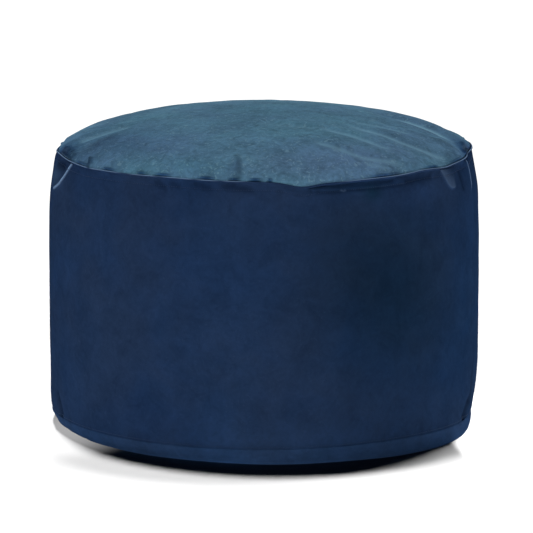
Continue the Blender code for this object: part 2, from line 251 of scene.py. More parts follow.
# A flat facet that ends in a sharp edge, painted lighter as it faces the light. Its route runs down that
# edge, with the side painted light on the left.
WALL_FACETS = (
    Crease(((54.6, 0.384), (55.4, 0.3770), (56.6, 0.3680), (57.9, 0.3595), (59.8, 0.3535), (62.5, 0.3540)),
           0.0160, 0.0014, 0.0022, 0.13),
)
FACET_PALE_WIDTHS = (0.0150, 0.0008)
# Where the top panel is nipped in just above the seam, which leaves a short dark pocket, with painted shade
# in it
SEAM_NIPS = (
    Nip(-71.5, 5.0, 0.0030),
    Nip(-60.0, 3.0, 0.0030),
    Nip(-46.5, 2.4, 0.0026),
    Nip(-34.4, 1.4, 0.0036),
    Nip(-27.7, 2.4, 0.0034),
    Nip(-15.2, 2.2, 0.0036),
    Nip(-7.8, 1.5, 0.0032),
    Nip(-2.3, 1.5, 0.0034),
    Nip(1.6, 0.7, 0.0026),
    Nip(34.0, 4.6, 0.0032),
    Nip(52.0, 3.2, 0.0028),
    Nip(65.5, 5.0, 0.0032),
    Nip(79.0, 3.4, 0.0040),
    Nip(103.0, 2.4, 0.0030),
    Nip(121.0, 1.6, 0.0032),
    Nip(149.0, 2.6, 0.0030),
    Nip(176.0, 1.8, 0.0034),
    Nip(-98.0, 2.0, 0.0030),
    Nip(-116.0, 1.3, 0.0030),
    Nip(-133.0, 2.8, 0.0032),
    Nip(-166.0, 1.7, 0.0030),
)
NIP_PLACE = 0.0032
NIP_REACH = 0.0020
NIP_BROW_PLACE = 0.0085
NIP_BROW_REACH = 0.0035
NIP_BROW_SHARE = 0.25

# The rolled lip's section, and how strong the painted highlight is at each point
LIP_SECTION = (
    LipPoint(-0.0008, 0.0007, 0.0),
    LipPoint(-0.0003, 0.0012, 0.0),
    LipPoint(0.0003, 0.0014, 0.7),
    LipPoint(0.0009, 0.0012, 1.0),
    LipPoint(0.0013, 0.0006, 0.15),
    LipPoint(0.0014, 0.0000, 0.0),
    LipPoint(0.0010, -0.0007, 0.0),
    LipPoint(0.0003, -0.0014, 0.0),
)
LIP_TUCKS = (
    Lift(4.5, 6.0, -0.90),
    Lift(-151, 8, -0.60),
)
# Stretches of the lip without the painted highlight
LIP_HIGHLIGHT_GAPS = (
    Lift(-55, 0.8, -1.0),
    Lift(-40, 3.2, -0.9),
    Lift(-28.8, 1.6, -0.7),
    Lift(-18.4, 1.2, -0.8),
    Lift(-11.3, 1.4, -0.9),
    Lift(-3, 3.0, -1.0),
    Lift(8, 7.5, -1.0),
    Lift(18, 5.5, -0.9),
    Lift(105, 4, -0.8),
    Lift(133, 7, -0.8),
    Lift(158, 5, -0.7),
    Lift(-176, 6, -0.8),
    Lift(-150, 9, -0.9),
    Lift(-112, 5, -0.8),
)
# Patches, lighter or darker: each colour is the share that it gains or loses. The place is a height on the
# wall, and on the top it is the distance in from the seam. Along the seams, beside the creases and in the
# top's corners and darts they are painted shade and painted highlight, and the top's back is painted lighter
# and its left darker, as the light falls. The wall's broad patches are only lighter or darker there.
WALL_PATCHES = (
    Patch(35, 0.230, 21, 0.120, -0.54, -0.41, -0.44),
    Patch(20, 0.300, 10, 0.060, -0.10, -0.09, -0.10),
    Patch(60, 0.120, 22, 0.110, -0.20, -0.12, -0.10),
    Patch(-9, 0.090, 9, 0.130, 0.22, 0.18, 0.14),
    Patch(-10, 0.330, 11, 0.040, 0.14, 0.10, 0.06),
    Patch(74, 0.220, 14, 0.150, -0.16, -0.08, -0.08),
    Patch(-28, 0.330, 10, 0.060, -0.10, -0.08, -0.05),
    Patch(-35, 0.060, 12, 0.050, -0.10, -0.04, 0.02),
    Patch(42, 0.355, 11, 0.016, 0.12, 0.14, 0.18),
    # A painted highlight beside the left crease, and a painted shadow in the corner above it
    Patch(-78, 0.356, 6, 0.014, 0.80, 0.75, 0.45),
    Patch(-72, 0.377, 6, 0.006, -0.35, -0.30, -0.25),
    # Painted shade under the seam, in its dimples and along the tuck
    Patch(-27.6, 0.3740, 1.3, 0.0042, -0.12, -0.08, -0.05),
    Patch(-23.7, 0.3770, 1.5, 0.0035, -0.10, -0.06, -0.04),
    Patch(-16.0, 0.3765, 1.9, 0.0038, -0.12, -0.08, -0.05),
    Patch(-6.5, 0.3770, 3.2, 0.0042, -0.14, -0.08, -0.05),
    Patch(22, 0.3745, 10, 0.0050, -0.20, -0.10, -0.12),
    Patch(29.6, 0.3640, 2.8, 0.0110, -0.36, -0.16, -0.24),
    # Broad lighter and darker patches, low at the front and at the back
    Patch(4, 0.030, 25, 0.023, 0.30, 0.32, 0.30),
    Patch(140, 0.190, 20, 0.110, -0.20, -0.16, -0.18),
    Patch(-150, 0.130, 16, 0.120, 0.12, 0.12, 0.10),
)
TOP_PATCHES = (
    # Painted shade on the top's left and painted light on its back, as the light falls
    Patch(-62, 0.055, 26, 0.055, -0.34, -0.35, -0.24),
    Patch(180, 0.180, 75, 0.080, 0.34, 0.26, 0.20),
    # Slight shifts of colour near the front seam
    Patch(8, 0.035, 22, 0.030, 0.16, 0.06, 0.09),
    Patch(-20, 0.022, 9, 0.020, -0.10, 0.04, -0.02),
    # Painted shade in the front dart, the left corner's pocket, the left dart and the right corner's pocket
    Patch(-8, 0.026, 2.0, 0.016, -0.20, -0.20, -0.14),
    Patch(-75, 0.000, 9, 0.023, -0.90, -0.80, -0.58),
    Patch(-56.4, 0.0055, 0.9, 0.0065, -0.50, -0.44, -0.34),
    Patch(81, 0.000, 11, 0.023, -1.10, -0.96, -0.68),
    # A slight shift of colour
    Patch(40, 0.045, 24, 0.040, 0.06, -0.03, 0.02),
    # Painted shade in the pockets at the back corners
    Patch(125, 0.000, 8, 0.014, -0.60, -0.55, -0.45),
    Patch(-128, 0.000, 7, 0.013, -0.55, -0.50, -0.40),
)
# The base band is painted lighter towards the floor, most of all at the front: painted light where it turns
# down away from the light
BASE_PAINTED_LIGHT = (
    Lift(-5, 20, 0.68),
)
BASE_PAINTED_LIGHT_AT_SEAM = 0.2
# How much painted shade darkens the cloth in a hollow of a given depth and in a nip, and the limits of a
# point's gain
HOLLOW_DEPTH = 0.0035
HOLLOW_PAINTED_SHADE = 0.45
NIP_PAINTED_SHADE = (0.84, 0.76, 0.62)
TONE_LOWEST = 0.12
TONE_HIGHEST = 2.5

# How far the gathers reach from a seam, and how the dips, the unevenness and the folds fade out
GATHER_REACH = 0.024
BASE_GATHER_REACH = 0.030
GATHER_START = 0.004
SEAM_DIP_FADE = 8
UNEVEN_FADE_IN = 2
UNEVEN_FADE_OUT = 12
FOOT_CALM = 0.3
CREASE_TAPER = 0.12
CREASE_TAPER_POWER = 0.7
CREASE_POWER = 1.6
SHARP_EDGE = 75
# How far a crease's painted highlight reaches on its left and on its right
WALL_PALE_WIDTHS = (0.0008, 0.0008)
TOP_PALE_WIDTHS = (0.0028, 0.0085)

# The cloths. Their colours are the two that drift into each other, mottled lighter and darker by a share.
# The top is the wall's navy cloth painted much lighter and more teal: painted light from above and painted
# sheen
TOP_CLOTH = Cloth(
    cool=(0.070, 0.148, 0.242), warm=(0.067, 0.161, 0.233), mottle=0.38, crease_scale=55.0, crumple=0.0055,
    roughness=0.72, sheen=0.20, specular=0.0, fleck=(0.15, 0.28, 0.35), fleck_from=0.60, fleck_share=0.5,
)
WALL_CLOTH = Cloth(
    cool=(0.0094, 0.0232, 0.0615), warm=(0.0116, 0.0238, 0.0565), mottle=0.21, crease_scale=32.0,
    crumple=0.0017, roughness=0.76, sheen=0.0, specular=0.0, fleck=(0.028, 0.050, 0.105), fleck_from=0.66,
    fleck_share=0.14,
)
# The base is the wall's cloth painted lighter: painted light where the base band turns down away from the
# light
BASE_CLOTH = WALL_CLOTH._replace(
    cool=(0.0130, 0.0332, 0.0840), warm=(0.0157, 0.0338, 0.0785), crumple=0.0014, fleck=(0.034, 0.060, 0.130),
)
# Colours of the painted highlights, on the wall's lip and creases and on the top's creases
EDGE_HIGHLIGHT = (0.165, 0.258, 0.410)
TOP_HIGHLIGHT = (0.170, 0.330, 0.450)
SHEEN_TINT = (0.32, 0.58, 0.82)
THREAD_DARK = (0.007, 0.018, 0.050)
THREAD_LIGHT = (0.012, 0.028, 0.072)
WEAVE_PITCH = 0.0011
WEAVE_DEPTH = 0.00012

# The camera, fitted to the pouf's outline and both seams in the photograph
CAMERA_ACROSS = 0.0036
CAMERA_DISTANCE = 5.0
CAMERA_HEIGHT = 1.1356
CAMERA_PITCH = 0.1816
CAMERA_FOCAL_PIXELS = 3621.9
FRAME_PIXELS = 533
SENSOR_MM = 36.0

# Far lights. The azimuth is where a light comes from, with 0 the front and 90 the right. The pouf's lights
# from below stand for what a pale floor throws back.
FLOOR_LIGHTS = (
    # The first casts the black part of the shadow, and the second its faint outer part
    SunLight("floor_back", strength=16.2, soft=6, azimuth=-160, elevation=79.3),
    SunLight("floor_faint", strength=7.7, soft=7, azimuth=158, elevation=73.8),
)
POUF_LIGHTS = (
    SunLight("key", strength=2.0, soft=14, azimuth=-28, elevation=50),
    SunLight("left", strength=0.35, soft=60, azimuth=-95, elevation=28),
    SunLight("right", strength=0.32, soft=60, azimuth=78, elevation=34),
    SunLight("back", strength=1.25, soft=50, azimuth=172, elevation=35),
    SunLight("below_left", strength=1.10, soft=70, azimuth=-50, elevation=-50),
    SunLight("below_right", strength=0.80, soft=70, azimuth=55, elevation=-50),
    SunLight("below_back", strength=0.9, soft=70, azimuth=180, elevation=-50),
)
# Round pools of light on the floor at both sides, which keep the shadow off the floor there. The spread is
# the pool's radius, and soft is the share of it over which its edge fades.
FLOOR_POOLS = (
    PoolLight("pool_left", power=440, x=-0.375, y=-0.100, height=2.0, spread=0.215, soft=0.9),
    PoolLight("pool_right", power=1600, x=0.96, y=-0.10, height=2.0, spread=0.709, soft=0.05),
)
WORLD_STRENGTH = 0.004
FLOOR_ALBEDO = 0.15
FLOOR_HALF = 30.0


def angles_around():
    """The angles of the mesh's steps, in radians, denser around the sharp creases."""
    even = np.linspace(-np.pi, np.pi, 8001)
    density = 1.0 + 0.0 * even
    for row in CLOSER:
        density = density + row.times * np.exp(-(turn_between(even, row.angle) / np.radians(row.spread)) ** 2)
    total = np.concatenate([[0.0], np.cumsum(0.5 * (density[1:] + density[:-1]))])
    wanted = np.arange(STEPS_AROUND) / STEPS_AROUND * total[-1]
    return np.interp(wanted, total, even)


def turn_between(angle, degrees):
    """The signed turn from a table's angle to each angle, in radians, the short way round."""
    turn = angle - np.radians(degrees)
    return (turn + np.pi) % (2.0 * np.pi) - np.pi


def waves(angle, table):
    """The sum of a table's waves around the pouf."""
    return sum(wave.size * np.cos(wave.count * angle + wave.phase) for wave in table)


def lifts(angle, table):
    """The sum of a table's soft local lifts around the pouf."""
    total = 0.0 * angle
    for row in table:
        total = total + row.lift * np.exp(-(turn_between(angle, row.angle) / np.radians(row.spread)) ** 2)
    return total


def ridge(along, across, end_along, end_across, fold):
    """A ridge or trough from the origin to an end point, 0 to 1 high, with its own width on each side."""
    length_squared = end_along ** 2 + end_across ** 2
    share = np.clip((along * end_along + across * end_across) / length_squared, 0.0, 1.0)
    distance_squared = (along - share * end_along) ** 2 + (across - share * end_across) ** 2
    side = end_along * across - end_across * along
    width = np.where(side > 0.0, fold.width, fold.far_width)
    return np.exp(-distance_squared / width ** 2)


def smooth_route(points, steps=12):
    """Points along a smooth curve through a route's own points."""
    points = np.asarray(points, float)
    ends = np.concatenate([[2.0 * points[0] - points[1]], points, [2.0 * points[-1] - points[-2]]])
    share = np.linspace(0.0, 1.0, steps, endpoint=False)[:, None]
    curve = []
    for a, b, c, d in zip(ends, ends[1:], ends[2:], ends[3:]):
        bend = 2.0 * a - 5.0 * b + 4.0 * c - d
        curl = 3.0 * (b - c) + d - a
        curve.append(0.5 * (2.0 * b + (c - a) * share + bend * share ** 2 + curl * share ** 3))
    return np.concatenate(curve + [points[-1:]])


def beside_route(along, across, route, crease, pale_widths):
    """How high a crease stands at each point, 0 to 1, and how near its edge is, also 0 to 1."""
    nearest = np.full(along.shape, np.inf)
    side = np.zeros(along.shape)
    share = np.zeros(along.shape)
    steps = len(route) - 1
    for step, (start, end) in enumerate(zip(route, route[1:])):
        run = end - start
        off_along, off_across = along - start[0], across - start[1]
        part = np.clip((off_along * run[0] + off_across * run[1]) / (run @ run), 0.0, 1.0)
        distance = np.hypot(off_along - part * run[0], off_across - part * run[1])
        closer = distance < nearest
        nearest = np.where(closer, distance, nearest)
        side = np.where(closer, run[0] * off_across - run[1] * off_along, side)
        share = np.where(closer, (step + part) / steps, share)
    taper = np.clip(share / CREASE_TAPER, 0.0, 1.0) * np.clip((1.0 - share) / CREASE_TAPER, 0.0, 1.0)
    taper = taper ** CREASE_TAPER_POWER
    width = np.where(side > 0.0, crease.width, crease.far_width)
    pale_width = np.where(side > 0.0, *pale_widths)
    return taper * np.exp(-(nearest / width) ** CREASE_POWER), taper * np.exp(-(nearest / pale_width) ** 2)


def plan_point(angle, radius):
    """The plan position at an angle from the front and a radius."""
    return radius * np.sin(angle), -radius * np.cos(angle)


def top_folds(angle, radius):
    """How far the top panel's folds and creases lift its cloth, and how strong their painted highlight is."""
    x, y = plan_point(angle, radius)
    relief = 0.0 * radius
    pale = 0.0 * radius
    for fold in TOP_FOLDS:
        start_x, start_y = plan_point(np.radians(fold.angle_from), fold.place_from)
        end_x, end_y = plan_point(np.radians(fold.angle_to), fold.place_to)
        relief = relief + fold.rise * ridge(x - start_x, y - start_y, end_x - start_x, end_y - start_y, fold)
    for crease in TOP_CREASES:
        route = smooth_route([plan_point(np.radians(degrees), place) for degrees, place in crease.route])
        shape, edge = beside_route(x, y, route, crease, TOP_PALE_WIDTHS)
        relief = relief + crease.rise * shape
        pale = np.maximum(pale, crease.pale * edge)
    return relief, pale


def wall_folds(angle, height):
    """How far the wall's folds and creases lift its cloth, and how strong their painted highlight is."""
    relief = 0.0
    for fold in WALL_FOLDS:
        along = WIDEST_RADIUS * turn_between(angle, fold.angle_from)
        end_along = WIDEST_RADIUS * np.radians(fold.angle_to - fold.angle_from)
        shape = ridge(along, height - fold.place_from, end_along, fold.place_to - fold.place_from, fold)
        relief = relief + fold.rise * shape
    pale = 0.0 * relief
    tables = [(crease, WALL_PALE_WIDTHS) for crease in WALL_CREASES]
    tables += [(facet, FACET_PALE_WIDTHS) for facet in WALL_FACETS]
    for crease, pale_widths in tables:
        start = crease.route[0][0]
        along = WIDEST_RADIUS * turn_between(angle, start)
        points = [(WIDEST_RADIUS * np.radians(degrees - start), place) for degrees, place in crease.route]
        shape, edge = beside_route(along, height, smooth_route(points), crease, pale_widths)
        relief = relief + crease.rise * shape
        pale = np.maximum(pale, crease.pale * edge)
    return relief, pale


def near_seam(distance, reach):
    """1 near a seam, fading over the reach, and 0 on the seam itself, which the stitches hold."""
    return np.exp(-(distance / reach) ** 2) * (1.0 - np.exp(-(distance / GATHER_START) ** 2))


def seam_radius(angle):
    flattened = SEAM_RADIUS - SEAM_FLATTENED * np.sin(angle) ** 2
    return flattened + SEAM_LEAN * np.sin(angle) + lifts(angle, SEAM_SPREADS)


def seam_height(angle):
    return SEAM_HEIGHT + lifts(angle, SEAM_LIFTS)


def base_seam_radius(angle):
    return WIDEST_RADIUS - BASE_DRAW - BASE_DRAW_LEAN * np.sin(angle) + lifts(angle, BASE_SPREADS)


def base_rim_radius(angle):
    """The radius at the bottom of the base seam's groove."""
    return base_seam_radius(angle) - BASE_GROOVE


def wall_radius(angle, height):
    """The wall's radius before its folds: fullest at mid height and drawn in to both seams."""
    up = np.clip(1.0 - (seam_height(angle) - height) / TOP_DRAW_REACH, 0.0, 1.0) ** TOP_DRAW_POWER
    down = np.clip(1.0 - (height - BASE_SEAM_HEIGHT) / BASE_DRAW_REACH, 0.0, 1.0) ** BASE_DRAW_POWER
    drawn_top = (WIDEST_RADIUS - seam_radius(angle)) * up
    drawn_base = (WIDEST_RADIUS - base_seam_radius(angle)) * down
    return WIDEST_RADIUS - drawn_top - drawn_base


def points_at(angle, radius, height):
    """Points around the pouf at each angle, radius and height."""
    x, y = plan_point(angle, radius)
    return np.stack(np.broadcast_arrays(x, y, height), axis=-1)


def outward(grid):
    """The outward normals of a grid of rows that run down the pouf and steps that run around it."""
    around = np.roll(grid, -1, axis=1) - np.roll(grid, 1, axis=1)
    down = np.gradient(grid, axis=0)
    normal = np.cross(down, around)
    return normal / np.linalg.norm(normal, axis=-1, keepdims=True)


def pushed_out(grid, relief):
    """Moves a grid of points along its own normals, which point out of the pouf."""
    return grid + outward(grid) * relief[..., None]


def spaced(*stretches):
    """Distances from 0 that grow by each stretch's step up to its end. A stretch is (end, step)."""
    values = [0.0]
    for end, step in stretches:
        count = max(1, round((end - values[-1]) / step))
        values += list(np.linspace(values[-1], end, count + 1)[1:])
    return np.array(values)


def give_around(angle):
    """Waves that fit around the pouf, up to the finest that the simulated cover can hold."""
    turns = np.arange(1, GIVE_WAVES_AROUND + 1) * np.ravel(angle)[:, None]
    return np.concatenate([np.cos(turns), np.sin(turns)], axis=1)


def give_across(share):
    """Waves that fit across a panel, which are all zero at its held edge."""
    return np.sin(np.pi * np.arange(1, GIVE_WAVES_ACROSS + 1) * np.ravel(share)[:, None])


def fitted_give(moved, share, angle):
    """The sizes of the waves that sum to a simulated panel's movement, without what each row shares."""
    return np.linalg.pinv(give_across(share)) @ moved @ np.linalg.pinv(give_around(angle)).T


def give_at(give, share, angle):
    """How far the simulated cloth has given at each row and angle of a panel."""
    moved = give_across(share) @ give @ give_around(angle).T
    return GIVE_LIMIT * np.tanh(GIVE_SHARE * moved / GIVE_LIMIT)


def simulated_give():
    """Blows out a coarse cover that is held along its seams, and returns how its top and wall have given."""
    none = np.zeros((GIVE_WAVES_ACROSS, 2 * GIVE_WAVES_AROUND))
    angle = np.linspace(-np.pi, np.pi, GIVE_STEPS, endpoint=False)
    inwards = np.linspace(0.0, GIVE_TOP_END, GIVE_TOP_ROWS) * (SEAM_RADIUS - TOP_PANEL_INSET)
    drops = np.linspace(0.0, WALL_HEIGHT, GIVE_WALL_ROWS)
    top = top_panel_grid(angle, inwards, none)[0]
    wall = wall_grid(angle, drops, none)[0]
    grid = np.concatenate([top[::-1], wall])
    cover = closed_panel("slack_cover", grid, float(top[-1, :, 2].mean()), BASE_SEAM_HEIGHT)
    seam = (GIVE_TOP_ROWS - 1) * GIVE_STEPS
    base = (len(grid) - 1) * GIVE_STEPS
    held = cover.vertex_groups.new(name="held")
    held.add(list(range(seam, seam + 2 * GIVE_STEPS)), 1.0, "REPLACE")
    held.add(list(range(base, base + GIVE_STEPS)) + [len(cover.data.vertices) - 1], 1.0, "REPLACE")
    cloth = cover.modifiers.new("cloth", "CLOTH")
    cloth.settings.vertex_group_mass = "held"
    cloth.settings.quality = 6
    cloth.settings.use_pressure = True
    cloth.settings.uniform_pressure_force = GIVE_PRESSURE
    cloth.settings.shrink_min = -GIVE_GROWTH
    cloth.settings.effector_weights.gravity = 0.0
    cloth.collision_settings.use_collision = False
    cloth.point_cache.frame_start = 1
    cloth.point_cache.frame_end = GIVE_FRAMES
    for step in range(1, GIVE_FRAMES + 1):
        bpy.context.scene.frame_set(step)
    blown = cover.evaluated_get(bpy.context.evaluated_depsgraph_get())
    points = np.empty(3 * len(blown.data.vertices), np.float32)
    blown.data.vertices.foreach_get("co", points)
    moved = ((points[:grid.size].reshape(grid.shape) - grid) * outward(grid)).sum(axis=-1)
    mesh = cover.data
    bpy.data.objects.remove(cover)
    bpy.data.meshes.remove(mesh)
    bpy.context.scene.frame_set(1)
    top_give = fitted_give(moved[:GIVE_TOP_ROWS][::-1], inwards / (SEAM_RADIUS - TOP_PANEL_INSET), angle)
    return top_give, fitted_give(moved[GIVE_TOP_ROWS:], drops / WALL_HEIGHT, angle)


def top_panel_grid(angle, inwards, give):
    """The top panel in rows from its seam up to the crown's last ring, with each point's painted highlight
    and its gain of colour, which holds painted light and shade.
    """
    angle = angle[None, :]
    share = 1.0 - inwards[:, None] / (SEAM_RADIUS - TOP_PANEL_INSET) + 0.0 * angle
    rim = seam_radius(angle) - TOP_PANEL_INSET
    radius = rim * share
    inward = rim - radius
    rise = CROWN_RISE * (1.0 - share ** CROWN_FLATNESS) ** CROWN_EDGE
    settled = SEAM_HEIGHT + (seam_height(angle) - SEAM_HEIGHT) * share ** SEAM_DIP_FADE
    held = 1.0 - np.exp(-(inward / GATHER_START) ** 2)
    lift = waves(angle, TOP_GATHER) * near_seam(inward, GATHER_REACH)
    lift = lift + waves(angle, TOP_UNEVEN) * share ** UNEVEN_FADE_IN * (1.0 - share ** UNEVEN_FADE_OUT)
    folds, pale = top_folds(angle, radius)
    lift = lift + folds * held + give_at(give, inwards / (SEAM_RADIUS - TOP_PANEL_INSET), angle) * share
    from_seam = np.hypot(inward, rise)
    pocket = np.exp(-((from_seam - NIP_PLACE) / NIP_REACH) ** 2)
    brow = NIP_BROW_SHARE * np.exp(-((from_seam - NIP_BROW_PLACE) / NIP_BROW_REACH) ** 2)
    shadow = 0.0 * radius
    for nip in SEAM_NIPS:
        across = np.exp(-np.abs(turn_between(angle, nip.angle) / np.radians(nip.spread)) ** 3)
        lift = lift - nip.depth * across * (pocket - brow)
        shadow = np.maximum(shadow, across)
    lift[0] = 0.0
    tone_and_painted_light = gain_with_painted_light(angle, from_seam, TOP_PATCHES, -folds)
    # Painted shade in the nips' pockets, darkest at the seam
    pocket_painted_shade = shadow * np.exp(-(from_seam / (NIP_PLACE + NIP_REACH)) ** 4)
    tone_and_painted_light *= 1.0 - pocket_painted_shade[..., None] * np.array(NIP_PAINTED_SHADE)
    return pushed_out(points_at(angle, radius, settled + PANEL_GAP + rise), lift), pale, tone_and_painted_light


def lip_grid(angle):
    """The rolled lip of the top seam, part of the wall's cloth, and how strong its painted highlight is at
    each point.
    """
    size = 1.0 + lifts(angle, LIP_TUCKS)
    highlight_share = np.clip(1.0 + lifts(angle, LIP_HIGHLIGHT_GAPS), 0.0, 1.0) * np.clip(size, 0.0, 1.0) ** 2
    radius = seam_radius(angle)
    height = seam_height(angle)
    rows = [points_at(angle, radius - LIP_INNER, height)]
    rub = [0.0 * angle]
    for point in LIP_SECTION:
        rows.append(points_at(angle, radius + point.out * size, height + point.up * size))
        rub.append(point.rub * highlight_share)
    return np.stack(rows), np.stack(rub)


def closing_seam(angle, from_top, from_base):
    """The closing seam of the wall's band: a narrow groove with the turned-in cloth raised beside it."""
    aside = WIDEST_RADIUS * turn_between(angle, CLOSING_ANGLE)
    groove = -CLOSING_GROOVE * np.exp(-(aside / CLOSING_GROOVE_WIDTH) ** 2)
    turned_in = CLOSING_FOLD * np.clip(aside / CLOSING_GROOVE_WIDTH, 0.0, 1.0)
    turned_in = turned_in * np.exp(-(aside / CLOSING_FOLD_WIDTH) ** 4)
    ends = (1.0 - np.exp(-(from_top / GATHER_START) ** 2)) * (1.0 - np.exp(-(from_base / GATHER_START) ** 2))
    return (groove + turned_in) * ends


def wall_grid(angle, drops, give):
    """The wall in rows from under the lip down to the base seam, with each point's painted highlight and its
    gain of colour, which holds painted light and shade.
    """
    angle = angle[None, :]
    share = drops[:, None] / WALL_HEIGHT
    height = seam_height(angle) * (1.0 - share) + BASE_SEAM_HEIGHT * share
    from_top = seam_height(angle) - height
    from_base = height - BASE_SEAM_HEIGHT
    lift = waves(angle, TOP_GATHER) * near_seam(from_top, GATHER_REACH)
    lift = lift + waves(angle, BASE_GATHER) * near_seam(from_base, BASE_GATHER_REACH)
    lift = lift + waves(angle, WALL_UNEVEN) * np.clip(np.sin(np.pi * share), 0.0, 1.0)
    folds, pale = wall_folds(angle, height)
    lift = lift + folds + closing_seam(angle, from_top, from_base) + give_at(give, share, angle)
    lift = lift - STITCH_GROOVE * np.exp(-((drops[:, None] - STITCH_DROP) / STITCH_GROOVE_WIDTH) ** 2)
    lift = lift - BASE_GROOVE * np.exp(-(from_base / BASE_GROOVE_WIDTH) ** 2)
    tone_and_painted_light = gain_with_painted_light(angle, height, WALL_PATCHES, -folds)
    return pushed_out(points_at(angle, wall_radius(angle, height), height), lift), pale, tone_and_painted_light


def gain_with_painted_light(angle, place, patches, hollow):
    """Each point's gain of red, green and blue, from the patches, which hold much painted light and shade,
    and painted shade where its fold is hollow.
    """
    tone_and_painted_light = np.ones((*np.broadcast_shapes(angle.shape, place.shape), 3))
    for patch in patches:
        across = np.exp(-(turn_between(angle, patch.angle) / np.radians(patch.spread)) ** 2)
        beside = np.exp(-((place - patch.place) / patch.reach) ** 2)
        tone_and_painted_light += (across * beside)[..., None] * np.array([patch.red, patch.green, patch.blue])
    # Painted shade, darker the deeper a fold's hollow is
    tone_and_painted_light *= 1.0 - HOLLOW_PAINTED_SHADE * np.clip(hollow / HOLLOW_DEPTH, 0.0, 1.0)[..., None]
    return np.clip(tone_and_painted_light, TONE_LOWEST, TONE_HIGHEST)


def base_panel_grid(angle):
    """The base panel in rows from its seam around its turned-up edge to the foot, with each point's painted
    light.
    """
    angle = angle[None, :]
    rim = base_rim_radius(angle)
    foot = FOOT_RADIUS + FOOT_LEAN * np.sin(angle) + lifts(angle, FOOT_SPREADS)
    foot = np.minimum(foot, rim - FOOT_INSET)
    top = BASE_SEAM_HEIGHT - PANEL_GAP
    turn = np.linspace(0.5 * np.pi, 0.0, BASE_TURN_ROWS)[:, None]
    height = top * (1.0 - np.cos(turn)) + 0.0 * angle
    distance = top - height
    swell = BASE_GROOVE * (1.0 - np.exp(-(distance / BASE_GROOVE_WIDTH) ** 2))
    fade = np.clip(height / (FOOT_CALM * top), 0.0, 1.0)
    lift = (swell + waves(angle, BASE_GATHER) * near_seam(distance, BASE_GATHER_REACH)) * fade
    grid = pushed_out(points_at(angle, foot + (rim - foot) * np.sin(turn), height), lift)
    grid[-1, :, 2] = 0.0
    # Painted light on the base band, stronger towards the floor
    painted_share = BASE_PAINTED_LIGHT_AT_SEAM + (1.0 - BASE_PAINTED_LIGHT_AT_SEAM) * distance / top
    tone_and_painted_light = 1.0 + lifts(angle, BASE_PAINTED_LIGHT) * painted_share
    return grid, np.repeat(tone_and_painted_light[..., None], 3, axis=-1)


def placed(name, data):
    """A new object of the scene with this data."""
    item = bpy.data.objects.new(name, data)
    bpy.context.scene.collection.objects.link(item)
    return item


def new_mesh(name, points, faces):
    mesh = bpy.data.meshes.new(name)
    mesh.from_pydata(points, [], faces)
    mesh.update()
    return mesh


def closed_panel(name, grid, top_centre, bottom_centre, rub=None, tone_and_painted_light=None):
    """Makes one closed mesh from a grid of rows, top to bottom, capped by a fan at each end."""
    rows, steps = grid.shape[:2]
    points = np.concatenate([grid.reshape(-1, 3), [(0.0, 0.0, top_centre), (0.0, 0.0, bottom_centre)]])
    above, below = len(points) - 2, len(points) - 1
    here = np.arange(steps)
    after = (here + 1) % steps
    faces = []
    for row in range(rows - 1):
        start = row * steps
        quads = np.stack([start + here, start + steps + here, start + steps + after, start + after], axis=1)
        faces += quads.tolist()
    last = (rows - 1) * steps
    faces += [(above, a, b) for a, b in zip(here.tolist(), after.tolist())]
    faces += [(below, last + b, last + a) for a, b in zip(here.tolist(), after.tolist())]
    mesh = new_mesh(name, points.tolist(), faces)
    mesh.shade_smooth()
    mesh.set_sharp_from_angle(angle=np.radians(SHARP_EDGE))
    if rub is not None:
        pale = mesh.attributes.new("rub", "FLOAT", "POINT")
        pale.data.foreach_set("value", np.append(rub.ravel(), [0.0, 0.0]).astype(np.float32))
    if tone_and_painted_light is not None:
        gain = mesh.attributes.new("tone_and_painted_light", "FLOAT_COLOR", "POINT")
        colours = np.concatenate([tone_and_painted_light.reshape(-1, 3), np.ones((2, 3))])
        colours = np.concatenate([colours, np.ones((len(colours), 1))], axis=1)
        gain.data.foreach_set("color", colours.ravel().astype(np.float32))
    return placed(name, mesh)


def thread_stitches(name, lines, normals):
    """One mesh with a short thread along each line of points, which arches over the cloth and dives in."""
    count, along = lines.shape[:2]
    run = np.gradient(lines, axis=1)
    run = run / np.linalg.norm(run, axis=-1, keepdims=True)
    beside = np.cross(normals, run)
    share = np.linspace(0.0, 1.0, along)
    arch = np.sin(np.pi * share) ** 0.5
    centre = lines + normals * (THREAD_RADIUS * (THREAD_ARCH * arch - THREAD_DIP))[None, :, None]
    turn = (np.arange(THREAD_SIDES) / THREAD_SIDES * 2.0 * np.pi)[None, None, :, None]
    radius = THREAD_RADIUS * (THREAD_END + (1.0 - THREAD_END) * arch)
    spoke = np.cos(turn) * beside[:, :, None] + np.sin(turn) * normals[:, :, None]
    rings = centre[:, :, None] + radius[None, :, None, None] * spoke
    points = rings.reshape(-1, 3)
    faces = []
    side = np.arange(THREAD_SIDES)
    after = (side + 1) % THREAD_SIDES
    for stitch in range(count):
        first = stitch * along * THREAD_SIDES
        for step in range(along - 1):
            here = first + step * THREAD_SIDES
            there = here + THREAD_SIDES
            faces += np.stack([here + side, here + after, there + after, there + side], axis=1).tolist()
        last = first + (along - 1) * THREAD_SIDES
        faces.append((first + side[::-1]).tolist())
        faces.append((last + side).tolist())
    mesh = new_mesh(name, points.tolist(), faces)
    mesh.shade_smooth()
    return placed(name, mesh)


